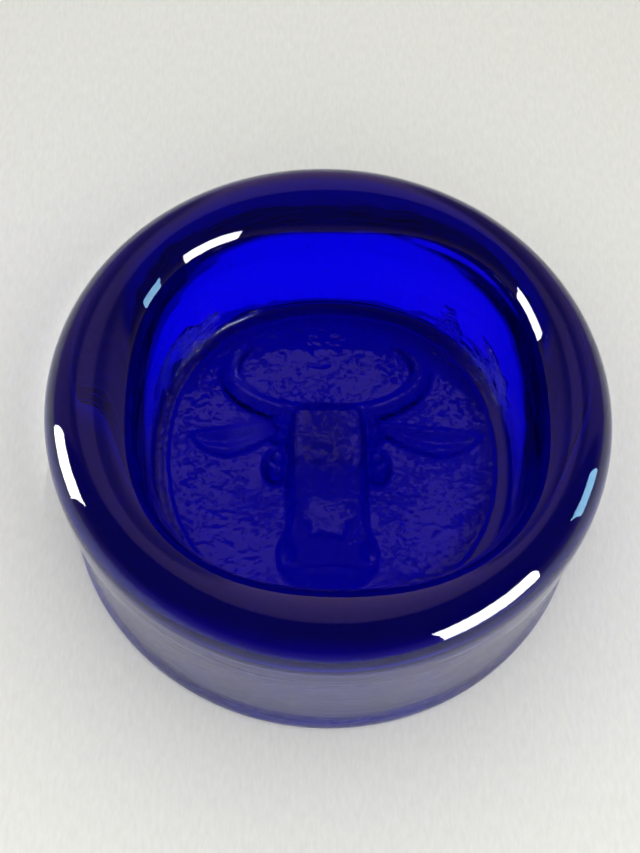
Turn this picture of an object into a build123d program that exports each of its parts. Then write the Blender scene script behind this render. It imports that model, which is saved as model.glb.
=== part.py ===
from build123d import *
import os
from math import cos, pi, sin

# Heavy cobalt-blue glass dish: a thick floor, a low steep-sided well, a fat rolled rim,
# and an ox head raised from the floor of the well.
# Millimetres, +Z up, origin at the centre of the underside. The ox's muzzle points to -Y.
# The dish is one casting. It is written here as the regions that the glassworker forms
# in turn, and as the parts of the ox, which all meet face to face without overlap.

# ---- overall sizes ----
rim_radius = 70.0            # widest point of the rolled rim
height = 57.8                # from the table to the crest of the rim
base_radius = 68.3           # straight above the rounded foot edge
foot_round = 2.5             # rounding between underside and wall
waist_radius = 67.5          # narrowest point of the outer wall
waist_height = 10.0

# ---- rolled rim ----
rim_equator_height = 48.0    # height of the widest point
rim_outer_reach = 9.0        # from the widest point in to the crest

# ---- well ----
# The well is a rounded square that widens upwards. Each level: height, mean radius, and
# how much the flat sides are drawn in and the corners pushed out, over the radius.
floor_height = 21.3          # thickness of the bottom
rim_start_height = 39.0      # the wall is straight up to here, then opens into the rim
wall_top_level = (rim_start_height, 48.5, 0.028)
wall_levels = [
    (floor_height, 46.6, 0.020),
    (21.7, 47.4, 0.020),     # the corner between floor and wall is eased
    (22.5, 47.8, 0.020),
    wall_top_level,
]
roll_levels = [
    wall_top_level,
    (45.0, 49.4, 0.034),
    (52.1, 51.9, 0.034),
    (54.9, 53.9, 0.030),
    (56.5, 56.0, 0.022),
    (57.4, 58.4, 0.014),
    (57.8, 61.4, 0.010),     # crest of the rim
    (58.2, 65.0, 0.010),     # clear above the crest
]
outline_points = 16          # points that set a level's outline
well_centre = (1.8, -0.4)    # the well sits this far off the dish's axis

# ---- ox: skull, from the poll down to the chin ----
# Each section across the head: place along Y, half width, height over the floor.
head_sections = [
    (15.0, 5.0, 1.4),        # poll, between the horns
    (12.5, 7.0, 4.2),
    (9.0, 8.6, 6.6),         # top of the forehead
    (1.0, 10.6, 8.4),        # brow
    (-7.0, 10.8, 8.0),       # below the eyes
    (-15.0, 10.2, 7.0),      # nose bridge
    (-21.5, 10.2, 6.6),      # narrowest part of the nose
    (-28.5, 12.8, 7.2),      # nostrils
    (-34.0, 11.4, 5.8),      # upper lip
    (-38.0, 8.0, 3.2),       # chin
    (-39.6, 5.0, 1.0),
]
head_axis_x = 0.3            # the head stands nearly on the dish's own axis
head_shoulder = 0.68         # half width of the flat top of a section, over its half width
head_side_height = 0.80      # height of a section where its flat top turns down

# ---- ox: eyes and nostrils ----
eye_place = (11.4, -3.4, 4.3)        # from the head's axis: x, y, height over the floor
eye_size = (4.6, 7.0, 4.6)           # half lengths across, along and up
nostril_place = (7.6, -31.0, 7.2)
nostril_size = (2.0, 2.8, 1.6)

# ---- ox: horns and ears, right side; the left side is its mirror image ----
left_ear_stretch = 0.87      # the left ear came out of the mould shorter than the right
right_ear_stretch = 1.04
# Horn centre line: x, y, radius of the horn there.
horn_points = [
    (5.5, 11.4, 3.2),
    (12.5, 11.2, 3.3),
    (19.6, 13.4, 3.2),
    (24.8, 18.6, 2.9),
    (26.0, 24.2, 2.5),
    (23.6, 29.0, 1.9),
    (19.6, 32.0, 1.1),
]
horn_lift = 0.3              # centre of the horn over the floor, over its radius
# Ear, from root to tip: x, y of the middle, half width, height over the floor.
ear_sections = [
    (8.0, 7.2, 2.2, 3.4),
    (15.0, 6.8, 3.0, 4.2),
    (22.0, 5.6, 4.0, 4.4),
    (29.5, 3.6, 4.1, 3.8),
    (36.0, 4.2, 2.4, 2.4),
    (39.6, 5.2, 0.7, 0.9),
]
ear_hollow_places = (18.0, 33.5)     # x of the two ends of the ear's hollow
ear_hollow_y = 4.9
ear_hollow_half_width = 3.5
ear_hollow_depth = 1.1


def dish():
    """The whole glass body: outer shape less the off-centre well."""
    with BuildSketch(Plane.XZ) as outer:
        with BuildLine():
            Line((0, 0), (base_radius - foot_round, 0))
            CenterArc((base_radius - foot_round, foot_round), foot_round, 270, 90)
            Spline(
                (base_radius, foot_round),
                (waist_radius, waist_height),
                ((waist_radius + rim_radius) / 2, (waist_height + rim_equator_height) / 2),
                (rim_radius, rim_equator_height),
                tangents=((0, 1), (0, 1)),
            )
            crest_radius = rim_radius - rim_outer_reach
            EllipticalCenterArc(
                (crest_radius, rim_equator_height),
                rim_outer_reach,
                height - rim_equator_height,
                start_angle=0,
                arc_size=90,
            )
            Line((crest_radius, height), (0, height))
            Line((0, height), (0, 0))
        make_face()
    return revolve(outer.sketch, Axis.Z) - well()


def well_outline(level):
    """Closed outline of the well at one level."""
    level_height, mean_radius, squareness = level
    points = []
    for index in range(outline_points):
        angle = 2 * pi * index / outline_points
        radius = mean_radius * (1 - squareness * cos(4 * angle))
        points.append((radius * cos(angle), radius * sin(angle), level_height))
    return Face(Wire([Spline(*points, periodic=True)]))


def well():
    """The hollow that is pressed into the glass: a steep wall, and the roll over it."""
    wall = loft([well_outline(level) for level in wall_levels], ruled=True)
    roll = loft([well_outline(level) for level in roll_levels])
    centre_x, centre_y = well_centre
    return Pos(centre_x, centre_y, 0) * (wall + roll)


def slice_between(solid, low, high):
    """The stretch of a solid between two heights."""
    slab = Pos(0, 0, low) * Cylinder(
        2 * rim_radius, high - low, align=(Align.CENTER, Align.CENTER, Align.MIN)
    )
    return solid & slab


def above_floor(solid):
    """What stands over the floor of the well."""
    slab = Pos(0, 0, floor_height) * Box(
        2 * rim_radius, 2 * rim_radius, height, align=(Align.CENTER, Align.CENTER, Align.MIN)
    )
    return solid & slab


def relief_section(plane, half_width, top, shoulder, side_height):
    """Closed outline across a raised part, standing on the floor: flat top, rounded sides."""
    with BuildSketch(plane) as section:
        with BuildLine():
            Spline(
                (-half_width, 0),
                (-half_width * shoulder, top * side_height),
                (0, top),
                (half_width * shoulder, top * side_height),
                (half_width, 0),
                tangents=((0, 1), (0, -1)),
            )
            Line((half_width, 0), (-half_width, 0))
        make_face()
    return section.sketch


def ellipsoid(place, half_sizes):
    """A ball scaled to three half lengths."""
    return Pos(*place) * scale(Sphere(1.0), by=half_sizes)


def head():
    """Skull and muzzle, with the eyes standing out at the sides and the nostrils pressed in."""
    sections = []
    for y, half_width, top in head_sections:
        plane = Plane(origin=(head_axis_x, y, floor_height), x_dir=(1, 0, 0), z_dir=(0, -1, 0))
        sections.append(relief_section(plane, half_width, top, head_shoulder, head_side_height))
    skull = loft(sections)
    eye_x, eye_y, eye_height = eye_place
    nostril_x, nostril_y, nostril_height = nostril_place
    eyes = []
    nostrils = []
    for side in (-1, 1):
        eye = (head_axis_x + side * eye_x, eye_y, floor_height + eye_height)
        eyes.append(above_floor(ellipsoid(eye, eye_size)))
        nostril = (head_axis_x + side * nostril_x, nostril_y, floor_height + nostril_height)
        nostrils.append(ellipsoid(nostril, nostril_size))
    return skull + eyes - nostrils


def horn(side):
    """One horn: a tapering round bar that sweeps out and curls back in towards its tip."""
    rings = []
    for index, (x, y, radius) in enumerate(horn_points):
        before = horn_points[max(index - 1, 0)]
        after = horn_points[min(index + 1, len(horn_points) - 1)]
        heading = (side * (after[0] - before[0]), after[1] - before[1], 0)
        place = (head_axis_x + side * x, y, floor_height + horn_lift * radius)
        rings.append(Plane(origin=place, z_dir=heading) * Circle(radius))
    return above_floor(loft(rings))


def ear(side, stretch):
    """One ear: a leaf that lies out sideways from the head, hollowed along its middle."""
    sections = []
    for x, y, half_width, top in ear_sections:
        out = head_axis_x + side * x * stretch
        plane = Plane(origin=(out, y, floor_height), x_dir=(0, side, 0), z_dir=(side, 0, 0))
        sections.append(relief_section(plane, half_width, top, head_shoulder, head_side_height))
    leaf = loft(sections)
    inner_x, outer_x = ear_hollow_places
    middle = head_axis_x + side * stretch * (inner_x + outer_x) / 2
    ear_top = max(section[3] for section in ear_sections)
    hollow = ellipsoid(
        (middle, ear_hollow_y, floor_height + ear_top),
        (stretch * (outer_x - inner_x) / 2, ear_hollow_half_width, ear_hollow_depth),
    )
    return leaf - hollow


def save(name, shape):
    """Write one named region."""
    shape.label = name
    export_step(shape, os.path.join("parts", name + ".step"))


os.makedirs("parts", exist_ok=True)
glass = dish()
save("base_disc", slice_between(glass, 0, floor_height))
save("side_wall", slice_between(glass, floor_height, rim_start_height))
save("rolled_rim", slice_between(glass, rim_start_height, height))
ox_head = head()
save("ox_head", ox_head)
for side_name, side, stretch in (("left", -1, left_ear_stretch), ("right", 1, right_ear_stretch)):
    ox_horn = horn(side) - ox_head
    save(side_name + "_horn", ox_horn)
    save(side_name + "_ear", ear(side, stretch) - ox_head - ox_horn)
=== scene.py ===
import math

import bpy
import numpy as np
from mathutils import Matrix, Vector


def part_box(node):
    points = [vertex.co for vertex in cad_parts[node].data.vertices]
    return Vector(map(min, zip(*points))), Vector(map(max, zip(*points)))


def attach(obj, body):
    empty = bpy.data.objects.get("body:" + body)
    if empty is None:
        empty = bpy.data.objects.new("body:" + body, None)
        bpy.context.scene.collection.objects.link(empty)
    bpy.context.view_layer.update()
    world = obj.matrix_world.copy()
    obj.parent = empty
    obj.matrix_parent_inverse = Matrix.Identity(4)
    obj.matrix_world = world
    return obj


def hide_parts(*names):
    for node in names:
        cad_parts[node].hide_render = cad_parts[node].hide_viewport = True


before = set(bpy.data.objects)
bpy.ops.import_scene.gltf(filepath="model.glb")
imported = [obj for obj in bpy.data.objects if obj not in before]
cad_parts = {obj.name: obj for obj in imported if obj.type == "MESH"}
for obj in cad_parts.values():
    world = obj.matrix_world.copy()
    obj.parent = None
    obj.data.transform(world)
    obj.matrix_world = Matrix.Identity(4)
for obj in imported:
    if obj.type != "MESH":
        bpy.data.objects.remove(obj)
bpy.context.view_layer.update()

# A heavy cobalt-blue glass dish with an ox head raised from its floor.
# Shapes are worked out in millimetres and turned into metres as each mesh is made.
# The whole dish is one closed glass mesh, so that light meets no surface inside it.

MM = 0.001


# ---------------------------------------------------------------------------
# Sizes taken from the frame
# ---------------------------------------------------------------------------

def node_box(node):
    """Lowest and highest corner of a CAD node, in millimetres."""
    low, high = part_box(node)
    return np.array(low) / MM, np.array(high) / MM


_, rim_high = node_box("rolled_rim")
_, base_high = node_box("base_disc")
head_low, head_high = node_box("ox_head")

RIM_RADIUS = rim_high[0]
HEIGHT = rim_high[2]
FLOOR_HEIGHT = head_low[2]
FOOT_RADIUS = base_high[0]
HEAD_AXIS_X = (head_low[0] + head_high[0]) / 2

# ---------------------------------------------------------------------------
# The dish's own shape, in millimetres
# ---------------------------------------------------------------------------

FOOT_ROUND = 2.5
FOOT_CENTRE = (0.65, 0.0)
FOOT_FLARE = 0.1                # the foot stands this far outside the CAD's base disc
WAIST_RADIUS = 67.5
WAIST_HEIGHT = 10.0
RIM_EQUATOR = 48.0
RIM_OUTER_REACH = 9.0
RIM_INNER_REACH = 10.0
ROLL_END_DEG = 25.0             # where the roll runs into the well's wall
STRAIGHT_TOP = 39.0             # the well's wall is straight below this height
WALL_TAPER = math.tan(math.radians(2.4))
FLOOR_RADIUS = 43.8             # where the flat of the floor ends
FLOOR_STEP_DOWN = 0.30          # a shallow gutter runs between the flat and the wall
STEP_WIDTH = 0.5
GUTTER_EDGE = ((0.6, 0.8), (0.3, 0.3), (0.0, 0.0))     # shares of the step's width and depth
FLOOR_FILLET = 1.3
FILLET_START_DEG = 10
FILLET_END_DEG = 84
FLOOR_SQUARENESS = 0.020
THROAT_SQUARENESS = 0.034
WELL_CENTRE = (1.8, -0.4)
UNDERSIDE_SINK = 0.12           # the middle of the underside stands clear of the table
UNDERSIDE_FADE = 6.0
UNDERSIDE_UNEVEN, UNDERSIDE_CELL = 0.6, 11.0

# ---------------------------------------------------------------------------
# Mesh density
# ---------------------------------------------------------------------------

FLOOR_SEGMENTS = 640
ROLL_SEGMENTS = 320
WALL_SEGMENTS = 160
WALL_STEP = 0.62
ROLL_STEPS = 15
WELL_STEP = 0.9
FLOOR_STEP = 0.34
FOOT_STEPS = 8
FILLET_STEPS = 6
GUTTER_STEPS = 6
FLOOR_FULL_FROM = 23.0          # inside this radius a floor ring has half as many points
UNDERSIDE_FULL_FROM = 40.0
UNDERSIDE_RADII = (1.0, 2.0, 4.0, 8.0, 14.0, 20.0, 28.0, 36.0, 44.0, 52.0, 60.0, 63.0)


# ---------------------------------------------------------------------------
# Small number tools
# ---------------------------------------------------------------------------

def smoothstep(x):
    """Rises smoothly from nought to one."""
    x = np.clip(x, 0, 1)
    return x * x * (3 - 2 * x)


def curve_through(points, at):
    """Smooth curve through (place, value) points, by monotone cubic pieces."""
    xs = np.array([p[0] for p in points], float)
    ys = np.array([p[1] for p in points], float)
    if xs[0] > xs[-1]:
        xs, ys = xs[::-1], ys[::-1]
    steps = np.diff(xs)
    slopes = np.diff(ys) / steps
    tangents = np.zeros_like(xs)
    same_way = slopes[1:] * slopes[:-1] > 0
    middle = np.zeros(len(slopes) - 1)
    both = slopes[1:] + slopes[:-1]
    middle[same_way] = 2 * slopes[1:][same_way] * slopes[:-1][same_way] / both[same_way]
    tangents[1:-1] = middle
    tangents[0], tangents[-1] = slopes[0], slopes[-1]
    at = np.clip(at, xs[0], xs[-1])
    i = np.clip(np.searchsorted(xs, at) - 1, 0, len(steps) - 1)
    t = (at - xs[i]) / steps[i]
    return (
        (2 * t**3 - 3 * t**2 + 1) * ys[i]
        + (t**3 - 2 * t**2 + t) * steps[i] * tangents[i]
        + (-2 * t**3 + 3 * t**2) * ys[i + 1]
        + (t**3 - t**2) * steps[i] * tangents[i + 1]
    )


def smooth_max(a, b, blend):
    """The larger of two heights, rounded where they cross."""
    d = np.clip(0.5 + 0.5 * (a - b) / blend, 0, 1)
    return b * (1 - d) + a * d + blend * d * (1 - d)


class Noise:
    """Seeded value noise in three dimensions, from -1 to 1."""

    LATTICE = 64

    def __init__(self, seed):
        rng = np.random.RandomState(seed)
        self.values = rng.uniform(-1, 1, (self.LATTICE,) * 3)

    def __call__(self, x, y, z, cell):
        cells = np.broadcast_to(np.array(cell, float), (3,))
        p = [np.asarray(v, float) / c for v, c in zip((x, y, z), cells)]
        base = [np.floor(v).astype(int) for v in p]
        frac = [smoothstep(v - b) for v, b in zip(p, base)]
        total = 0
        for corner in range(8):
            bits = [(corner >> k) & 1 for k in range(3)]
            where = tuple((b + bit) % self.LATTICE for b, bit in zip(base, bits))
            weight = 1
            for f, bit in zip(frac, bits):
                weight = weight * (f if bit else 1 - f)
            total = total + weight * self.values[where]
        return total


def fractal(noise, x, y, z, cell, octaves):
    """Noise summed over octaves, each half the size and half the height of the last."""
    total, height = 0, 1.0
    cells = np.broadcast_to(np.array(cell, float), (3,))
    for octave in range(octaves):
        total = total + height * noise(x + 17.3 * octave, y, z, cells / 2**octave)
        height /= 2
    return total


# ---------------------------------------------------------------------------
# Ox head: height over the floor as a function of place
# ---------------------------------------------------------------------------

SKULL_HALF_WIDTH = [
    (13.5, 6.0), (11.0, 8.6), (8.0, 9.6), (3.0, 10.4), (-2.0, 11.0), (-8.0, 10.9),
    (-14.0, 10.5), (-20.0, 10.5), (-24.0, 11.6), (-28.0, 13.0), (-32.0, 12.8), (-35.5, 10.6),
    (-38.0, 7.4), (-39.6, 2.0),
]
FACE_HALF_WIDTH = [
    (12.0, 6.0), (9.5, 8.0), (5.0, 8.3), (-2.0, 7.7), (-10.0, 7.3), (-20.0, 6.9), (-27.0, 6.4),
    (-31.0, 6.0), (-34.0, 4.6), (-37.0, 2.0),
]
FACE_HEIGHT = [
    (13.5, 2.6), (11.0, 5.4), (9.0, 7.2), (6.0, 7.45), (0.0, 7.42), (-7.0, 7.12), (-10.5, 6.75),
    (-14.0, 6.25), (-20.0, 5.5), (-26.0, 4.9), (-29.0, 4.6), (-32.0, 3.8), (-35.0, 2.7),
    (-38.0, 1.0), (-39.6, 0.1),
]
CHIP_LEVEL = [(-13.0, 6.05), (-28.0, 5.80)]     # the scar on the nose is nearly level
EYE_CENTRE = (13.3, -4.4)
EYE_HALF = (3.6, 5.6)
EYE_HEIGHT = 6.0
EYEBALL_CENTRE = (12.3, -3.6)
EYEBALL_RADIUS = 2.2
EYEBALL_HEIGHT = 0.8
EYE_GROOVE = 0.8                # depth of the groove round the eyeball
EYE_GROOVE_OUT = 0.5
EYE_GROOVE_WIDTH = 0.55
TEMPLE_CENTRE = (11.6, 5.8)
TEMPLE_HALF = (4.6, 4.2)
TEMPLE_HEIGHT = 4.6
TEMPLE_TUFT = 0.22              # unevenness over the lump's height
TEMPLE_CELL = (1.8, 2.6, 3.0)
NOSTRIL_CENTRE = (10.3, -29.6)
NOSTRIL_HALF = (1.7, 2.2)
NOSTRIL_DEPTH = 2.2
MOUTH_Y = -33.6
MOUTH_DEPTH = 0.35
MOUTH_HALF_WIDTH = 8.0
MOUTH_BEND = 0.012
MOUTH_WIDTH = 0.5
HAIR_HEIGHT = 0.46
HAIR_TOP = 10.0
HAIR_FOOT = -10.0
HAIR_HALF_WIDTH = 8.6
HAIR_LOCK = (2.7, 5.0, 4.0)     # size of a lock across and along the head
HAIR_SWAY = 0.5
HAIR_SWAY_LENGTH = 1.7
HAIR_FOOT_BEND = 0.06           # the hair's lower edge rises to both sides
HAIR_FOOT_RAGGED = 3.0
HAIR_FOOT_CELL = 2.2
HAIR_FOOT_FADE = 2.5
HAIR_TOP_FADE = 1.4
CHIP_HALF_WIDTH = 6.0
CHIP_TOP = -14.5
CHIP_FOOT = -27.0
CHIP_TEARS = ((1.9, 3, 2.6), (0.9, 8, 1.1))     # height, layer and cell of the outline's noise
CHIP_EDGE = 0.5
CHIP_UNEVEN = 0.06
CHIP_CELL = (3.2, 2.6, 3.0)
FACE_EDGE = 4.0                 # the skull's flat face is all above this height
FACE_MARGIN = 0.6               # the flat face stays this far inside the skull's outline
SIDE_ROUNDNESS = 2.2
HORN_LINE = [
    (0.0, 11.8), (6.5, 11.4), (13.0, 12.2), (19.0, 14.8), (23.8, 18.8), (25.8, 23.4),
    (24.9, 27.4), (22.4, 30.4), (19.6, 32.4),
]
HORN_RADIUS = [(0.0, 2.8), (0.3, 3.3), (0.6, 3.2), (0.85, 2.3), (1.0, 0.9)]
HORN_HEIGHT = [(0.0, 3.8), (0.3, 3.9), (0.6, 3.6), (0.85, 2.7), (1.0, 0.9)]
HORN_PIECES = 90
HORN_LIP = 0.72                 # a fine step runs along each horn at this part of its width
HORN_LIP_HEIGHT = 0.10          # over the horn's own height
HORN_LIP_WIDTH = 0.10
EAR_MIDDLE = [(9.0, 7.2), (15.0, 6.4), (22.0, 4.4), (29.0, 3.0), (35.0, 3.4), (40.5, 5.4)]
EAR_HALF_WIDTH = [
    (9.0, 1.6), (15.0, 2.4), (22.0, 4.0), (29.0, 4.6), (34.0, 3.7), (38.0, 2.0), (40.8, 0.2),
]
EAR_HEIGHT = [(9.0, 3.4), (15.0, 3.4), (22.0, 3.2), (29.0, 3.0), (36.0, 2.2), (40.8, 0.4)]
EAR_ROOT = 9.0
EAR_HOLLOW = 0.62               # depth of the hollow over the ear's height
EAR_HOLLOW_X = (13.0, 39.5)
EAR_HOLLOW_FADE = (7.0, 4.0)
EAR_HOLLOW_PLACE = -0.05        # across the ear, over its half width
EAR_HOLLOW_WIDTH = 0.48
LEFT_EAR_STRETCH = 0.87
RIGHT_EAR_STRETCH = 1.04

EYE_BLEND = 0.8                 # how far each part is rounded into the rest
TEMPLE_BLEND = 0.6
HORN_BLEND = 0.6
EAR_BLEND = 0.4

GRID_STEP = 0.2
GRID_REACH = 48.0
SOFTENING = 0.20

curl_noise = Noise(5)
chip_noise = Noise(7)


def skull(x, y):
    """A flat face with sloping sides, wide at the muzzle and blunt at the poll."""
    outer = curve_through(SKULL_HALF_WIDTH, y)
    face = np.minimum(curve_through(FACE_HALF_WIDTH, y), outer - FACE_MARGIN)
    top = curve_through(FACE_HEIGHT, y)
    inside = (y < SKULL_HALF_WIDTH[0][0]) & (y > SKULL_HALF_WIDTH[-1][0])
    side = np.clip((np.abs(x) - face) / (outer - face), 0, 1)
    shape = np.sqrt(1 - side**SIDE_ROUNDNESS)
    return np.where(inside & (np.abs(x) < outer), top * shape, 0)


def hair(x, y):
    """Locks that hang over the forehead, with a ragged lower edge."""
    sway = HAIR_SWAY * np.sin(y / HAIR_SWAY_LENGTH)
    strand = fractal(curl_noise, x + sway, y, 0, HAIR_LOCK, 1)
    ragged = HAIR_FOOT_RAGGED * curl_noise(x, 0, 9, HAIR_FOOT_CELL)
    lower_edge = HAIR_FOOT + HAIR_FOOT_BEND * x**2 + ragged
    mask = smoothstep((y - lower_edge) / HAIR_FOOT_FADE)
    mask = mask * smoothstep((HAIR_TOP - y) / HAIR_TOP_FADE)
    mask = mask * smoothstep(HAIR_HALF_WIDTH - np.abs(x))
    return HAIR_HEIGHT * np.abs(strand) * mask


def with_chip(x, y, face):
    """A rough level scar on the bridge of the nose, with a torn outline."""
    torn = sum(height * chip_noise(x, y, layer, cell) for height, layer, cell in CHIP_TEARS)
    ends = np.minimum(y - CHIP_FOOT, CHIP_TOP - y)
    reach = np.minimum(CHIP_HALF_WIDTH - np.abs(x), ends) + torn
    lump = fractal(chip_noise, x, y, 20, CHIP_CELL, 2)
    level = curve_through(CHIP_LEVEL, y) + CHIP_UNEVEN * lump
    inside = smoothstep(reach / CHIP_EDGE)
    return face + inside * np.maximum(level - face, 0)


def dome(x, y, centre, half, height):
    """Half an ellipsoid at each side of the head."""
    d = ((np.abs(x) - centre[0]) / half[0]) ** 2 + ((y - centre[1]) / half[1]) ** 2
    return height * np.sqrt(np.clip(1 - d, 0, 1))


def eyes(x, y):
    """A brow bulge at each side, with an eyeball in a groove."""
    brow = dome(x, y, EYE_CENTRE, EYE_HALF, EYE_HEIGHT)
    r = np.hypot(np.abs(x) - EYEBALL_CENTRE[0], y - EYEBALL_CENTRE[1])
    from_groove = (r - EYEBALL_RADIUS - EYE_GROOVE_OUT) / EYE_GROOVE_WIDTH
    groove = EYE_GROOVE * np.exp(-(from_groove**2))
    ball = EYEBALL_HEIGHT * np.sqrt(np.clip(1 - (r / EYEBALL_RADIUS) ** 2, 0, 1))
    return np.where(brow > 0, np.maximum(brow - groove + ball, 0), 0)


def temples(x, y):
    """A tufted lump between each eye and ear."""
    lump = dome(x, y, TEMPLE_CENTRE, TEMPLE_HALF, TEMPLE_HEIGHT)
    return lump * (1 + TEMPLE_TUFT * fractal(curl_noise, x, y, 30, TEMPLE_CELL, 2))


def nostrils(x, y):
    """Depth of the nostrils."""
    d = ((np.abs(x) - NOSTRIL_CENTRE[0]) / NOSTRIL_HALF[0]) ** 2
    d = d + ((y - NOSTRIL_CENTRE[1]) / NOSTRIL_HALF[1]) ** 2
    return NOSTRIL_DEPTH * np.exp(-d)


def mouth(x, y):
    """Depth of the mouth's line, which bends down at its ends."""
    line = MOUTH_Y - MOUTH_BEND * x**2
    groove = MOUTH_DEPTH * np.exp(-(((y - line) / MOUTH_WIDTH) ** 2))
    return groove * smoothstep((MOUTH_HALF_WIDTH - np.abs(x)) / 2)


def horns(x, y):
    """Tapering round bars along the horns' line, with a fine lip along each side."""
    u = np.linspace(0, len(HORN_LINE) - 1, HORN_PIECES)
    px = curve_through([(i, p[0]) for i, p in enumerate(HORN_LINE)], u)
    py = curve_through([(i, p[1]) for i, p in enumerate(HORN_LINE)], u)
    along = np.concatenate([[0], np.cumsum(np.hypot(np.diff(px), np.diff(py)))])
    along /= along[-1]
    best = np.full(x.shape, 1e9)
    where = np.zeros(x.shape)
    ax = np.abs(x)
    for k in range(len(u) - 1):
        ex, ey = px[k + 1] - px[k], py[k + 1] - py[k]
        t = np.clip(((ax - px[k]) * ex + (y - py[k]) * ey) / (ex * ex + ey * ey), 0, 1)
        d = np.hypot(ax - px[k] - t * ex, y - py[k] - t * ey)
        nearer = d < best
        best = np.where(nearer, d, best)
        where = np.where(nearer, along[k] + t * (along[k + 1] - along[k]), where)
    s = best / curve_through(HORN_RADIUS, where)
    top = curve_through(HORN_HEIGHT, where)
    lip = HORN_LIP_HEIGHT * np.exp(-(((s - HORN_LIP) / HORN_LIP_WIDTH) ** 2))
    return top * (np.sqrt(np.clip(1 - s**2, 0, 1)) + lip)


def ears(x, y):
    """Leaves that lie out sideways, hollowed along the middle."""
    stretch = np.where(x < 0, LEFT_EAR_STRETCH, RIGHT_EAR_STRETCH)
    ax = EAR_ROOT + (np.abs(x) - EAR_ROOT) / stretch
    middle = curve_through(EAR_MIDDLE, ax)
    half = curve_through(EAR_HALF_WIDTH, ax)
    top = curve_through(EAR_HEIGHT, ax)
    s = (y - middle) / half
    inside = (ax > EAR_ROOT) & (ax < EAR_HALF_WIDTH[-1][0]) & (np.abs(s) < 1)
    hollow = EAR_HOLLOW * smoothstep((ax - EAR_HOLLOW_X[0]) / EAR_HOLLOW_FADE[0])
    hollow = hollow * smoothstep((EAR_HOLLOW_X[1] - ax) / EAR_HOLLOW_FADE[1])
    across = (s - EAR_HOLLOW_PLACE) / EAR_HOLLOW_WIDTH
    shape = np.sqrt(np.clip(1 - s**2, 0, 1)) - hollow * np.exp(-(across**2))
    return np.where(inside, top * np.clip(shape, 0, 1), 0)


def relief(x, y):
    """The whole ox, every part rounded into the next."""
    x = x - HEAD_AXIS_X
    face = skull(x, y)
    face = np.where(face > FACE_EDGE, with_chip(x, y, face + hair(x, y)), face)
    h = smooth_max(face, eyes(x, y), EYE_BLEND)
    h = smooth_max(h, temples(x, y), TEMPLE_BLEND)
    h = smooth_max(h, horns(x, y), HORN_BLEND)
    h = smooth_max(h, ears(x, y), EAR_BLEND)
    return np.maximum(h - nostrils(x, y) - mouth(x, y), 0)


def relief_grid():
    """The ox as a fine square grid of heights, softened as pressed glass is."""
    axis = np.arange(-GRID_REACH, GRID_REACH + GRID_STEP, GRID_STEP)
    gx, gy = np.meshgrid(axis, axis, indexing="ij")
    return axis, blur(relief(gx, gy), SOFTENING / GRID_STEP)


def blur(h, sigma):
    """Gaussian blur of a grid, sigma in cells."""
    n = int(3 * sigma) + 1
    k = np.exp(-0.5 * (np.arange(-n, n + 1) / sigma) ** 2)
    k /= k.sum()

    def soften(line):
        return np.convolve(np.pad(line, n, mode="edge"), k, "valid")

    for axis in (0, 1):
        h = np.apply_along_axis(soften, axis, h)
    return h


RELIEF_AXIS, RELIEF = relief_grid()


def relief_at(x, y):
    """Height of the ox at any place, read from the grid."""
    step = RELIEF_AXIS[1] - RELIEF_AXIS[0]
    u = np.clip((x - RELIEF_AXIS[0]) / step, 0, len(RELIEF_AXIS) - 1.001)
    v = np.clip((y - RELIEF_AXIS[0]) / step, 0, len(RELIEF_AXIS) - 1.001)
    i, j = u.astype(int), v.astype(int)
    a, b = u - i, v - j
    return (
        RELIEF[i, j] * (1 - a) * (1 - b)
        + RELIEF[i + 1, j] * a * (1 - b)
        + RELIEF[i, j + 1] * (1 - a) * b
        + RELIEF[i + 1, j + 1] * a * b
    )


# ---------------------------------------------------------------------------
# Surface marks left by the work
# ---------------------------------------------------------------------------

PIT_SLOPE = 0.22                # all heights here are in millimetres
PIT_CELL = (3.6, 2.2, 5.0)      # so are the sizes of the noise's cells
PIT_EDGE = 0.10
PIT_LEVEL = 0.15                # more of the skin is pitted where this is lower
PIT_LEVEL_CHANGE = 0.45
PIT_LEVEL_CELL = 16.0
WARP = 0.9
WARP_CELL = 2.6
SLOW_FLOOR, SLOW_FLOOR_CELL = 0.02, 12.0
FINE_WRINKLE, FINE_CELL = 0.022, (34.0, 34.0, 2.2)
BROKEN_WRINKLE, BROKEN_CELL = 0.010, (9.0, 9.0, 1.6)
SLOW_OUTSIDE, SLOW_OUTSIDE_CELL = 0.09, (30.0, 30.0, 14.0)
DRAG_IN_WELL, DRAG_CELL = 0.16, (3.4, 3.4, 1.9)
SLOW_IN_WELL, SLOW_IN_WELL_CELL = 0.05, (12.0, 12.0, 9.0)
RIGHT_ANGLE, RIGHT_SPREAD = 0.55, 0.55          # radians from +X, seen from the dish's axis
BACK_LEFT_ANGLE, BACK_LEFT_SPREAD = 2.45, 0.40
DRAG_TOP = 34.0
DRAG_FADE = 9.0
GUTTER_UNEVEN, GUTTER_CELL = 0.16, 2.2
ON_THE_OX = 0.15                # share of the floor's marks that the ox has too

chill_noise = Noise(11)
ripple_noise = Noise(23)
wave_noise = Noise(37)


def floor_marks(x, y):
    """Chill marks where the cool plunger met the glass: shallow pits in a flat skin."""
    wx = x + WARP * wave_noise(x, y, 0, WARP_CELL)
    wy = y + WARP * wave_noise(x, y, 50, WARP_CELL)
    patch = fractal(chill_noise, wx, wy, 0, PIT_CELL, 3)
    level = PIT_LEVEL + PIT_LEVEL_CHANGE * wave_noise(x, y, 20, PIT_LEVEL_CELL)
    pit = np.maximum(patch - level, 0)
    slow = SLOW_FLOOR * wave_noise(x, y, 40, SLOW_FLOOR_CELL)
    return -PIT_SLOPE * pit * smoothstep(pit / PIT_EDGE) + slow


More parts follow.
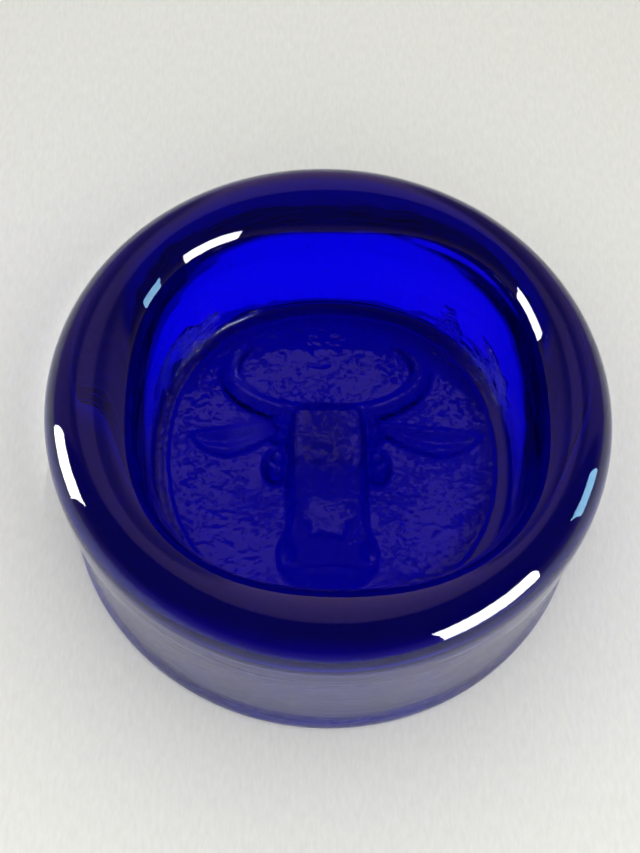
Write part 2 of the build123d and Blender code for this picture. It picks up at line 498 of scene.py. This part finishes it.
def outer_marks(x, y, z):
    """Fine level wrinkles round the outside, and a slow unevenness."""
    fine = fractal(ripple_noise, x, y, z, FINE_CELL, 2)
    broken = fractal(ripple_noise, x, y, z + 60, BROKEN_CELL, 1)
    slow = wave_noise(x, y, z, SLOW_OUTSIDE_CELL)
    return FINE_WRINKLE * fine + BROKEN_WRINKLE * broken + SLOW_OUTSIDE * slow


def well_marks(x, y, z, angle):
    """Drag wrinkles low on the well's wall, most of them at the right and the back left."""
    right = np.exp(-(((angle - RIGHT_ANGLE) / RIGHT_SPREAD) ** 2))
    back_left = np.exp(-(((angle - BACK_LEFT_ANGLE) / BACK_LEFT_SPREAD) ** 2))
    low = smoothstep((DRAG_TOP - z) / DRAG_FADE)
    heavy = low * (right + back_left)
    drag = fractal(chill_noise, x, y, z, DRAG_CELL, 3)
    gentle = fractal(wave_noise, x, y, z, SLOW_IN_WELL_CELL, 2)
    return DRAG_IN_WELL * heavy * drag + SLOW_IN_WELL * gentle


# ---------------------------------------------------------------------------
# Rings of the glass mesh, from the middle of the underside, up the outside, over the
# rim, down the well and in to the middle of the floor
# ---------------------------------------------------------------------------

def segments_for(radius, segments, full_from):
    """How many points a ring has: halved each time its radius has halved."""
    while radius < full_from and segments > 10:
        segments //= 2
        full_from /= 2
    return segments


def ring(radius, z, n, squareness=0.0, centre=(0.0, 0.0)):
    """A level ring of points, round or drawn towards a square."""
    angle = np.arange(n) * 2 * math.pi / n
    r = radius * (1 - squareness * np.cos(4 * angle))
    return np.stack(
        [centre[0] + r * np.cos(angle), centre[1] + r * np.sin(angle), np.full(n, float(z))], 1
    )


def steps_between(a, b, step):
    """Even steps from a to b, about as long as step."""
    return np.linspace(a, b, max(2, int(round(abs(b - a) / step)) + 1))


def scaled(centre, weight):
    """A centre drawn in towards the dish's axis."""
    return centre[0] * weight, centre[1] * weight


def underside_rings():
    """The underside, from near its middle out to the foot."""
    rings = []
    for radius in UNDERSIDE_RADII:
        n = segments_for(radius, WALL_SEGMENTS, UNDERSIDE_FULL_FROM)
        r = ring(radius, 0, n, 0, FOOT_CENTRE)
        sink = UNDERSIDE_SINK * smoothstep((FOOT_RADIUS - 2 * FOOT_ROUND - radius) / UNDERSIDE_FADE)
        uneven = wave_noise(r[:, 0], r[:, 1], 90, UNDERSIDE_CELL)
        r[:, 2] = sink * (1 + UNDERSIDE_UNEVEN * uneven)
        rings.append(r)
    return rings


def outside_rings():
    """The rounded foot and the outer wall."""
    rings = []
    for a in np.radians(np.linspace(-90, 0, FOOT_STEPS)):
        radius = FOOT_RADIUS + FOOT_FLARE - FOOT_ROUND + FOOT_ROUND * math.cos(a)
        z = FOOT_ROUND + FOOT_ROUND * math.sin(a)
        rings.append(ring(radius, z, WALL_SEGMENTS, 0, FOOT_CENTRE))
    for z in steps_between(FOOT_ROUND, RIM_EQUATOR, WALL_STEP)[1:-1]:
        centre = scaled(FOOT_CENTRE, 1 - smoothstep(z / RIM_EQUATOR))
        rings.append(ring(outer_radius(z), z, WALL_SEGMENTS, 0, centre))
    return rings


def outer_radius(z):
    """Outer wall, from the foot through the waist to the widest point of the rim."""
    low = smoothstep((z - FOOT_ROUND) / (WAIST_HEIGHT - FOOT_ROUND))
    high = smoothstep((z - WAIST_HEIGHT) / (RIM_EQUATOR - WAIST_HEIGHT))
    foot = FOOT_RADIUS + FOOT_FLARE
    return foot + (WAIST_RADIUS - foot) * low + (RIM_RADIUS - WAIST_RADIUS) * high


def roll_rings():
    """The rim, from its widest point over the crest into the throat."""
    rise = HEIGHT - RIM_EQUATOR
    crest = RIM_RADIUS - RIM_OUTER_REACH
    rings = []
    for a in np.radians(np.linspace(0, 90, ROLL_STEPS)):
        radius = crest + RIM_OUTER_REACH * math.cos(a)
        rings.append(ring(radius, RIM_EQUATOR + rise * math.sin(a), ROLL_SEGMENTS))
    for a in np.radians(np.linspace(90, ROLL_END_DEG, ROLL_STEPS + 1))[1:]:
        radius = crest - RIM_INNER_REACH * math.cos(a)
        z = RIM_EQUATOR + rise * math.sin(a)
        w = math.cos(a)
        rings.append(ring(radius, z, ROLL_SEGMENTS, THROAT_SQUARENESS * w, scaled(WELL_CENTRE, w)))
    return rings


def well_radius(z, top_z, top_r, top_slope):
    """The well's wall: straight low down, then opening towards the roll."""
    bend = top_z - STRAIGHT_TOP
    gain = (top_slope - WALL_TAPER) / (2 * bend)
    u = min(top_z - z, bend)
    radius = top_r - top_slope * u + gain * u * u
    return radius - WALL_TAPER * max(STRAIGHT_TOP - z, 0)


def well_profile():
    """Radius, height and squareness down the well's wall, round the fillet, to the flat."""
    end = math.radians(ROLL_END_DEG)
    rise = HEIGHT - RIM_EQUATOR
    top_z = RIM_EQUATOR + rise * math.sin(end)
    top_r = RIM_RADIUS - RIM_OUTER_REACH - RIM_INNER_REACH * math.cos(end)
    top_slope = RIM_INNER_REACH * math.tan(end) / rise
    foot_z = FLOOR_HEIGHT + FLOOR_FILLET
    foot_r = well_radius(foot_z, top_z, top_r, top_slope)
    profile = []
    for t in np.linspace(0, 1, int((top_z - foot_z) / WELL_STEP) + 1)[1:]:
        z = top_z + (foot_z - top_z) * t
        bend = THROAT_SQUARENESS + (FLOOR_SQUARENESS - THROAT_SQUARENESS) * t
        profile.append((well_radius(z, top_z, top_r, top_slope), z, bend))
    for a in np.radians(np.linspace(FILLET_START_DEG, FILLET_END_DEG, FILLET_STEPS)):
        radius = foot_r - FLOOR_FILLET * (1 - math.cos(a))
        profile.append((radius, foot_z - FLOOR_FILLET * math.sin(a), FLOOR_SQUARENESS))
    wall_foot = foot_r - FLOOR_FILLET
    gutter = FLOOR_RADIUS + STEP_WIDTH
    for t in np.linspace(0, 1, GUTTER_STEPS + 1)[1:]:
        z = FLOOR_HEIGHT - FLOOR_STEP_DOWN * smoothstep(t)
        profile.append((wall_foot + (gutter - wall_foot) * t, z, FLOOR_SQUARENESS))
    for share, drop in GUTTER_EDGE:
        z = FLOOR_HEIGHT - FLOOR_STEP_DOWN * drop
        profile.append((FLOOR_RADIUS + STEP_WIDTH * share, z, FLOOR_SQUARENESS))
    return profile, foot_z


def well_rings():
    """The well's wall, its fillet and the gutter round the floor."""
    profile, foot_z = well_profile()
    rings = []
    for radius, z, bend in profile:
        n = ROLL_SEGMENTS if z > foot_z else FLOOR_SEGMENTS
        r = ring(radius, z, n, bend, WELL_CENTRE)
        angle = np.arctan2(r[:, 1], r[:, 0])
        push_out(r, -well_marks(r[:, 0], r[:, 1], r[:, 2], angle))
        if radius < FLOOR_RADIUS + 2 * STEP_WIDTH:
            push_out(r, GUTTER_UNEVEN * fractal(chill_noise, r[:, 0], r[:, 1], 77, GUTTER_CELL, 2))
        rings.append(r)
    return rings


def floor_rings():
    """The floor of the well, raised into the ox."""
    rings = []
    for radius in steps_between(FLOOR_RADIUS, 0.5, FLOOR_STEP)[1:]:
        w = radius / FLOOR_RADIUS
        n = segments_for(radius, FLOOR_SEGMENTS, FLOOR_FULL_FROM)
        r = ring(radius, FLOOR_HEIGHT, n, FLOOR_SQUARENESS * w, scaled(WELL_CENTRE, w))
        h = relief_at(r[:, 0], r[:, 1])
        flat = smoothstep(1 - h / 1.5) * smoothstep((1 - w) / 0.015)
        marks = floor_marks(r[:, 0], r[:, 1]) * (ON_THE_OX + (1 - ON_THE_OX) * flat)
        r[:, 2] += h + marks * (w < 0.999)
        rings.append(r)
    return rings


def bridge(faces, a0, n0, a1, n1):
    """Faces between one ring and the next, where the next may have half or twice as many."""
    if n0 == n1:
        for j in range(n0):
            k = (j + 1) % n0
            faces.append((a0 + j, a0 + k, a1 + k, a1 + j))
        return
    if n1 == 2 * n0:
        for j in range(n0):
            k = (j + 1) % n0
            m = 2 * j
            faces.append((a0 + j, a1 + m + 1, a1 + m))
            faces.append((a0 + j, a0 + k, a1 + m + 1))
            faces.append((a0 + k, a1 + (m + 2) % n1, a1 + m + 1))
        return
    for j in range(n1):
        k = (j + 1) % n1
        m = 2 * j
        faces.append((a1 + j, a0 + m, a0 + m + 1))
        faces.append((a1 + j, a0 + m + 1, a1 + k))
        faces.append((a1 + k, a0 + m + 1, a0 + (m + 2) % n0))


def glass_mesh():
    """Points and faces of the whole dish: one closed skin."""
    outside = outside_rings()
    for r in outside:
        push_out(r, outer_marks(r[:, 0], r[:, 1], r[:, 2]) * smoothstep(r[0, 2] / 4))
    rings = underside_rings() + outside + roll_rings() + well_rings() + floor_rings()
    points = [rings[0].mean(axis=0, keepdims=True)]
    starts, counts = [], []
    count = 1
    for r in rings:
        starts.append(count)
        counts.append(len(r))
        points.append(r)
        count += len(r)
    points.append(rings[-1].mean(axis=0, keepdims=True))
    faces = []
    for j in range(counts[0]):
        faces.append((0, starts[0] + (j + 1) % counts[0], starts[0] + j))
    for i in range(len(rings) - 1):
        bridge(faces, starts[i], counts[i], starts[i + 1], counts[i + 1])
    last, n = starts[-1], counts[-1]
    for j in range(n):
        faces.append((last + j, last + (j + 1) % n, count))
    return np.concatenate(points), faces


def push_out(r, distance):
    """Moves a ring's points away from the dish's axis."""
    length = np.hypot(r[:, 0], r[:, 1])
    r[:, 0] += r[:, 0] / length * distance
    r[:, 1] += r[:, 1] / length * distance


def make_piece(name, points, faces):
    """A smooth-shaded object from points in millimetres."""
    mesh = bpy.data.meshes.new(name)
    mesh.from_pydata((points * MM).tolist(), [], faces)
    mesh.validate()
    mesh.update()
    mesh.shade_smooth()
    piece = bpy.data.objects.new(name, mesh)
    bpy.context.scene.collection.objects.link(piece)
    return piece


# ---------------------------------------------------------------------------
# Materials
# ---------------------------------------------------------------------------

# Loss per metre is the density times what each colour channel lacks of one.
ABSORPTION_DENSITY = 300.0
ABSORPTION_COLOUR = (0.18, 0.0, 0.972, 1)
GLASS_IOR = 1.52

# Heights of the marks in the glass's skin, in millimetres.
SEED_HEIGHT = 0.12
CHILL_DEPTH = 0.12
CHILL_GRAIN = 0.40
DRAG_HEIGHT = 0.80
WRINKLE_HEIGHT = 0.08

# Where they are, in metres: low, high and softness of each edge.
DRAG_Z = (0.0216, 0.0330, 0.0020)
DRAG_Y = (0.0120, 0.0360, 0.0040)
DRAG_SPAN = (0.0440, 0.0520, 0.0004)
WRINKLE_SPAN = (0.0600, 0.0720, 0.0010)
WRINKLE_Y = (-0.0720, -0.0300, 0.0200)
WRINKLE_Z = (0.0010, 0.0400, 0.0060)
FLOOR_Z = (0.0205, 0.0300, 0.0002)
FLOOR_SPAN = (0.0445, 0.0460)

# Texture scales, in cells per metre.
SEED_SCALE = 210.0
CHILL_SCALE = 600.0
CHILL_COVER_SCALE = 60.0
CHILL_GRAIN_SCALE = 1700.0
DRAG_SCALE = 700.0
DRAG_PATCH_SCALE = 110.0
WRINKLE_SCALE = 1100.0

# A painted pool of light: the table glows under the dish, standing in for the light the glass
# gathers and throws under itself.
PAINTED_POOL_GLOW = 0.175
PAINTED_POOL_SHIFT_Y = 0.006
PAINTED_POOL_SPAN = (0.040, 0.049)
PAINTED_FOREHEAD_SHADE = 0.45           # painted shade: the painted pool is dimmer under the ox's forehead
PAINTED_SHADE_X = (-0.0050, 0.0056, 0.0030)
PAINTED_SHADE_Y = (-0.0010, 0.0110, 0.0040)
CARD_DARK = (0.760, 0.765, 0.725, 1)
CARD_LIGHT = (0.820, 0.825, 0.785, 1)
CARD_FIBRE = (900.0, 260.0, 1.0)
CARD_RELIEF = 0.00012


def new_material(name):
    """A material with its node tree, its Principled shader and its output."""
    material = bpy.data.materials.new(name)
    material.use_nodes = True
    nodes, links = material.node_tree.nodes, material.node_tree.links
    return material, nodes, links, nodes["Principled BSDF"], nodes["Material Output"]


def noise_node(nodes, links, place, scale, detail=2.0, roughness=0.5, distortion=0.0):
    """Noise from nought to one."""
    node = nodes.new("ShaderNodeTexNoise")
    node.inputs["Scale"].default_value = scale
    node.inputs["Detail"].default_value = detail
    node.inputs["Roughness"].default_value = roughness
    node.inputs["Distortion"].default_value = distortion
    links.new(place, node.inputs["Vector"])
    return node.outputs["Fac"]


def bump_node(nodes, links, height, distance, under=None):
    """Bump from a height, in metres for a height of one, laid over an earlier bump."""
    bump = nodes.new("ShaderNodeBump")
    bump.inputs["Strength"].default_value = 1.0
    bump.inputs["Distance"].default_value = distance
    links.new(height, bump.inputs["Height"])
    if under is not None:
        links.new(under, bump.inputs["Normal"])
    return bump.outputs["Normal"]


def map_range(nodes, links, value, low, high, to_low, to_high, how="SMOOTHSTEP"):
    """Turns low to high into to_low to to_high."""
    node = nodes.new("ShaderNodeMapRange")
    node.interpolation_type = how
    node.inputs["From Min"].default_value = low
    node.inputs["From Max"].default_value = high
    node.inputs["To Min"].default_value = to_low
    node.inputs["To Max"].default_value = to_high
    links.new(value, node.inputs["Value"])
    return node.outputs["Result"]


def arithmetic(nodes, links, how, a, b=None):
    """A Math node on one or two values."""
    node = nodes.new("ShaderNodeMath")
    node.operation = how
    links.new(a, node.inputs[0])
    if b is not None:
        links.new(b, node.inputs[1])
    return node.outputs["Value"]


def cobalt_glass():
    """Clear glass, deep blue by absorption, its skin marked by the mould and the tools."""
    material, nodes, links, shader, output = new_material("cobalt_glass")
    shader.inputs["Base Color"].default_value = (1, 1, 1, 1)
    shader.inputs["Transmission Weight"].default_value = 1.0
    shader.inputs["IOR"].default_value = GLASS_IOR
    shader.inputs["Roughness"].default_value = 0.0
    place = nodes.new("ShaderNodeTexCoord").outputs["Object"]
    normal = None
    for marks in (seeds, chill_marks, drag_marks, level_wrinkles):
        normal = bump_node(nodes, links, marks(nodes, links, place), MM, normal)
    links.new(normal, shader.inputs["Normal"])
    volume = nodes.new("ShaderNodeVolumeAbsorption")
    volume.inputs["Color"].default_value = ABSORPTION_COLOUR
    volume.inputs["Density"].default_value = ABSORPTION_DENSITY
    links.new(volume.outputs["Volume"], output.inputs["Volume"])
    return material


def stretched(nodes, links, place, scale):
    """The place, scaled along each axis."""
    node = nodes.new("ShaderNodeMapping")
    node.inputs["Scale"].default_value = scale
    links.new(place, node.inputs["Vector"])
    return node.outputs["Vector"]


def product(nodes, links, *values):
    """All the values multiplied together."""
    total = values[0]
    for value in values[1:]:
        total = arithmetic(nodes, links, "MULTIPLY", total, value)
    return total


def band(nodes, links, value, low, high, edge):
    """One where the value is between low and high, nought elsewhere, with soft edges."""
    rise = map_range(nodes, links, value, low - edge, low, 0.0, 1.0)
    fall = map_range(nodes, links, value, high, high + edge, 1.0, 0.0)
    return product(nodes, links, rise, fall)


def axes_of(nodes, links, place):
    """X, Y, Z and the distance from the dish's axis, all in metres."""
    axes = nodes.new("ShaderNodeSeparateXYZ")
    links.new(place, axes.inputs["Vector"])
    flat = nodes.new("ShaderNodeCombineXYZ")
    links.new(axes.outputs["X"], flat.inputs["X"])
    links.new(axes.outputs["Y"], flat.inputs["Y"])
    span = nodes.new("ShaderNodeVectorMath")
    span.operation = "LENGTH"
    links.new(flat.outputs["Vector"], span.inputs[0])
    return axes.outputs["X"], axes.outputs["Y"], axes.outputs["Z"], span.outputs["Value"]


# Each of these gives the height of one kind of mark, in millimetres.

def seeds(nodes, links, place):
    """Pin-head bubbles that break the skin."""
    cells = nodes.new("ShaderNodeTexVoronoi")
    cells.inputs["Scale"].default_value = SEED_SCALE
    links.new(place, cells.inputs["Vector"])
    return map_range(nodes, links, cells.outputs["Distance"], 0.0, 0.06, SEED_HEIGHT, 0.0)


def drag_marks(nodes, links, place):
    """Drag wrinkles low on the well's wall, to both sides of the back."""
    _, y, z, span = axes_of(nodes, links, place)
    drawn_out = stretched(nodes, links, place, (0.5, 0.5, 1.0))
    drag = noise_node(nodes, links, drawn_out, DRAG_SCALE, 2.0, 0.5, 1.0)
    cover = noise_node(nodes, links, place, DRAG_PATCH_SCALE, 1.0)
    patchy = map_range(nodes, links, cover, 0.42, 0.58, 0.0, 1.0)
    depth = map_range(nodes, links, drag, 0.3, 0.7, 0.0, DRAG_HEIGHT, "LINEAR")
    return product(
        nodes, links, depth, patchy,
        band(nodes, links, z, *DRAG_Z),
        band(nodes, links, y, *DRAG_Y),
        band(nodes, links, span, *DRAG_SPAN),
    )


def level_wrinkles(nodes, links, place):
    """Fine level wrinkles that the mould left across the front of the outside wall."""
    _, y, z, span = axes_of(nodes, links, place)
    drawn_out = stretched(nodes, links, place, (0.06, 0.06, 1.0))
    fine = noise_node(nodes, links, drawn_out, WRINKLE_SCALE, 3.0, 0.6)
    height = map_range(nodes, links, fine, 0.25, 0.75, 0.0, WRINKLE_HEIGHT, "LINEAR")
    return product(
        nodes, links, height,
        band(nodes, links, span, *WRINKLE_SPAN),
        band(nodes, links, y, *WRINKLE_Y),
        band(nodes, links, z, *WRINKLE_Z),
    )


def chill_marks(nodes, links, place):
    """Pitted patches in a flat skin, on the floor of the well only."""
    squeezed = stretched(nodes, links, place, (1.0, 1.4, 0.4))
    patch = noise_node(nodes, links, squeezed, CHILL_SCALE, 4.0, 0.60, 0.8)
    cover = noise_node(nodes, links, place, CHILL_COVER_SCALE, 1.0)
    level = map_range(nodes, links, cover, 0.3, 0.7, 0.46, 0.60)
    over = arithmetic(nodes, links, "SUBTRACT", patch, level)
    pit = map_range(nodes, links, over, 0.0, 0.25, 0.0, -CHILL_DEPTH, "LINEAR")
    rough = noise_node(nodes, links, squeezed, CHILL_GRAIN_SCALE, 2.0)
    grain = map_range(nodes, links, over, 0.0, 0.02, 0.0, CHILL_GRAIN)
    broken = product(nodes, links, rough, grain)
    sunk = arithmetic(nodes, links, "ADD", pit, broken)
    return arithmetic(nodes, links, "MULTIPLY", sunk, floor_only(nodes, links, place))


def floor_only(nodes, links, place):
    """One on the flat of the well's floor and on the ox, nought elsewhere."""
    _, _, z, span = axes_of(nodes, links, place)
    return product(
        nodes, links,
        band(nodes, links, z, *FLOOR_Z),
        map_range(nodes, links, span, *FLOOR_SPAN, 1.0, 0.0),
    )


def table_top():
    """Pale card with a fine fibre, with a painted pool of light glowing under the dish in place of
    what the glass gathers.
    """
    material, nodes, links, shader, output = new_material("table_top")
    place = nodes.new("ShaderNodeTexCoord").outputs["Object"]
    fibre = stretched(nodes, links, place, CARD_FIBRE)
    grain = noise_node(nodes, links, fibre, 1.0, 4.0, 0.6)
    tone = nodes.new("ShaderNodeValToRGB")
    tone.color_ramp.elements[0].position = 0.3
    tone.color_ramp.elements[0].color = CARD_DARK
    tone.color_ramp.elements[1].position = 0.7
    tone.color_ramp.elements[1].color = CARD_LIGHT
    links.new(grain, tone.inputs["Fac"])
    links.new(tone.outputs["Color"], shader.inputs["Base Color"])
    links.new(bump_node(nodes, links, grain, CARD_RELIEF), shader.inputs["Normal"])
    shader.inputs["Roughness"].default_value = 0.9
    shader.inputs["Specular IOR Level"].default_value = 0.0
    # The painted pool of light and its painted shade sit a little towards the back.
    moved = nodes.new("ShaderNodeMapping")
    moved.inputs["Location"].default_value = (0.0, -PAINTED_POOL_SHIFT_Y, 0.0)
    links.new(place, moved.inputs["Vector"])
    x, y, _, span = axes_of(nodes, links, moved.outputs["Vector"])
    # Painted shade: the glowing pool is dimmed where it lies under the ox's forehead.
    painted_shade_place = product(
        nodes, links,
        band(nodes, links, x, *PAINTED_SHADE_X),
        band(nodes, links, y, *PAINTED_SHADE_Y),
    )
    # Painted pool of light: the card glows evenly under the dish and fades out at its edge.
    painted_pool = map_range(nodes, links, span, *PAINTED_POOL_SPAN, PAINTED_POOL_GLOW, 0.0)
    painted_shade = map_range(nodes, links, painted_shade_place, 0.0, 1.0, 1.0, PAINTED_FOREHEAD_SHADE, "LINEAR")
    painted_glow = product(nodes, links, painted_pool, painted_shade)
    links.new(painted_glow, shader.inputs["Emission Strength"])
    shader.inputs["Emission Color"].default_value = (1, 1, 1, 1)
    return material


# ---------------------------------------------------------------------------
# The piece
# ---------------------------------------------------------------------------

dish = make_piece("glass_dish", *glass_mesh())
dish.data.materials.append(cobalt_glass())
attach(dish, "root")
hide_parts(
    "base_disc", "side_wall", "rolled_rim", "ox_head",
    "left_horn", "right_horn", "left_ear", "right_ear",
)

# ---------------------------------------------------------------------------
# Table, light and camera
# ---------------------------------------------------------------------------

TABLE_HALF = 3.0
TABLE_GAP = 0.0002

mesh = bpy.data.meshes.new("table")
mesh.from_pydata(
    [(-TABLE_HALF, -TABLE_HALF, -TABLE_GAP), (TABLE_HALF, -TABLE_HALF, -TABLE_GAP),
     (TABLE_HALF, TABLE_HALF, -TABLE_GAP), (-TABLE_HALF, TABLE_HALF, -TABLE_GAP)],
    [], [(0, 1, 2, 3)],
)
table = bpy.data.objects.new("table", mesh)
bpy.context.scene.collection.objects.link(table)
table.data.materials.append(table_top())


def lamp_panel(name, azimuth, elevation, wide_deg, high_deg, radiance, colour, distance, gloss):
    """A rectangular lamp that faces the dish, as wide and high in degrees as seen from it.

    Azimuth is counted from +X towards +Y. A gloss lamp shows only as a reflection, and
    the others only light the table.
    """
    width = 2 * distance * math.tan(math.radians(wide_deg) / 2)
    height = 2 * distance * math.tan(math.radians(high_deg) / 2)
    data = bpy.data.lights.new(name, "AREA")
    data.shape = "RECTANGLE"
    data.size, data.size_y = width, height
    data.energy = radiance * width * height * math.pi
    data.color = colour
    lamp = bpy.data.objects.new(name, data)
    a, e = math.radians(azimuth), math.radians(elevation)
    way = Vector((math.cos(a) * math.cos(e), math.sin(a) * math.cos(e), math.sin(e)))
    lamp.location = LAMP_AIM + way * distance
    lamp.rotation_mode = "QUATERNION"
    lamp.rotation_quaternion = (-way).to_track_quat("-Z", "Y")
    lamp.visible_camera = False
    lamp.visible_diffuse = not gloss
    lamp.visible_glossy = gloss
    lamp.visible_transmission = False
    bpy.context.scene.collection.objects.link(lamp)


LAMP_AIM = Vector((0, 0, 0.04))
WHITE = (1.0, 1.0, 1.0)
WARM = (1.0, 0.99, 0.97)
SKY = (0.35, 0.72, 1.0)

lamp_panel("window_left", 172, 13, 20, 30, 26, WHITE, 1.0, True)
lamp_panel("window_front_right", -40, 13, 33, 30, 26, WARM, 1.0, True)
lamp_panel("window_right", 2, 13, 13, 22, 12, SKY, 1.0, True)
lamp_panel("overhead", 90, 82, 60, 60, 0.62, WARM, 2.2, False)
lamp_panel("back_light", 90, 38, 70, 40, 1.35, WARM, 2.2, False)
lamp_panel("right_light", 10, 40, 50, 50, 0.88, WARM, 2.2, False)
lamp_panel("front_light", -88, 50, 60, 45, 2.15, WARM, 0.42, False)
lamp_panel("left_light", 172, 42, 50, 50, 0.74, WARM, 2.2, False)


HALO_POWER = 10.5
HALO_CONE_DEG = 16.4
HALO_BLEND = 0.55
HALO_PLACE = (0, 0.026, 0.6)


def halo():
    """Light on the table close round the dish, where the real glass gathers it."""
    data = bpy.data.lights.new("halo", "SPOT")
    data.energy = HALO_POWER
    data.color = WARM
    data.spot_size = math.radians(HALO_CONE_DEG)
    data.spot_blend = HALO_BLEND
    lamp = bpy.data.objects.new("halo", data)
    lamp.location = HALO_PLACE
    lamp.visible_glossy = False
    lamp.visible_transmission = False
    bpy.context.scene.collection.objects.link(lamp)


halo()


# What the glass mirrors: brightness by how far the ray points to the back (+Y), to the
# side (X) and up (Z).
EVEN_LIGHT = 0.15
BACKDROP = (0.60, 0.60, 0.58, 1)
ROOM_TINT = (1.0, 0.66, 1.0, 1)
FAR_SIDE = [(0.0, 0.03), (0.29, 0.04), (0.345, 0.36), (0.50, 0.42), (0.70, 0.50), (0.95, 0.62)]
ASIDE = [(0.0, 1.0), (0.18, 1.0), (0.27, 0.30), (0.42, 0.30), (0.60, 0.70)]
LOW_DOWN = [(0.0, 0.28), (0.10, 0.23), (0.34, 0.05)]


def room():
    """A dim room for the glass to mirror, an even light on dull things, a pale backdrop."""
    world = bpy.data.worlds.new("room")
    bpy.context.scene.world = world
    world.use_nodes = True
    nodes, links = world.node_tree.nodes, world.node_tree.links
    axes = nodes.new("ShaderNodeSeparateXYZ")
    links.new(nodes.new("ShaderNodeTexCoord").outputs["Generated"], axes.inputs["Vector"])
    far = ramp(nodes, links, axes.outputs["Y"], FAR_SIDE)
    low = ramp(nodes, links, axes.outputs["Z"], LOW_DOWN)
    sideways = arithmetic(nodes, links, "ABSOLUTE", axes.outputs["X"])
    aside = ramp(nodes, links, sideways, ASIDE)
    over = arithmetic(nodes, links, "MULTIPLY", far, aside)
    light = arithmetic(nodes, links, "MAXIMUM", over, low)
    path = nodes.new("ShaderNodeLightPath")
    mirrored = nodes["Background"]
    mirrored.inputs["Color"].default_value = ROOM_TINT
    links.new(light, mirrored.inputs["Strength"])
    even = nodes.new("ShaderNodeBackground")
    even.inputs["Strength"].default_value = EVEN_LIGHT
    pick = nodes.new("ShaderNodeMixShader")
    links.new(path.outputs["Is Diffuse Ray"], pick.inputs[0])
    links.new(mirrored.outputs["Background"], pick.inputs[1])
    links.new(even.outputs["Background"], pick.inputs[2])
    backdrop = nodes.new("ShaderNodeBackground")
    backdrop.inputs["Color"].default_value = BACKDROP
    show = nodes.new("ShaderNodeMixShader")
    links.new(path.outputs["Is Camera Ray"], show.inputs[0])
    links.new(pick.outputs["Shader"], show.inputs[1])
    links.new(backdrop.outputs["Background"], show.inputs[2])
    links.new(show.outputs["Shader"], nodes["World Output"].inputs["Surface"])


def ramp(nodes, links, value, stops):
    """Brightness along a value, from (position, brightness) stops."""
    node = nodes.new("ShaderNodeValToRGB")
    elements = node.color_ramp.elements
    while len(elements) < len(stops):
        elements.new(0.5)
    for element, (position, level) in zip(elements, stops):
        element.position = position
        element.color = (level, level, level, 1)
    links.new(value, node.inputs["Fac"])
    return node.outputs["Color"]


room()

# The camera looks down at the dish from the front, a little from the left.
CAMERA_AZIMUTH = -5.0
CAMERA_ELEVATION = 64.33
CAMERA_DISTANCE = 0.4141
CAMERA_AIM = Vector((-0.00165, 0.00392, 0.029))
CAMERA_ROLL = 4.31
CAMERA_LENS = 63.3
SENSOR = 36.0

a, e = math.radians(CAMERA_AZIMUTH), math.radians(CAMERA_ELEVATION)
eye = CAMERA_DISTANCE * Vector(
    (math.sin(a) * math.cos(e), -math.cos(a) * math.cos(e), math.sin(e))
)
camera_data = bpy.data.cameras.new("camera")
camera_data.lens = CAMERA_LENS
camera_data.sensor_width = SENSOR
camera = bpy.data.objects.new("camera", camera_data)
camera.location = eye
camera.rotation_mode = "QUATERNION"
level = (CAMERA_AIM - eye).to_track_quat("-Z", "Y")
roll = Matrix.Rotation(math.radians(CAMERA_ROLL), 3, "Z").to_quaternion()
camera.rotation_quaternion = level @ roll
bpy.context.scene.collection.objects.link(camera)
bpy.context.scene.camera = camera

scene = bpy.context.scene
scene.view_settings.view_transform = "Standard"
scene.cycles.max_bounces = 24
scene.cycles.transmission_bounces = 24
scene.cycles.glossy_bounces = 12
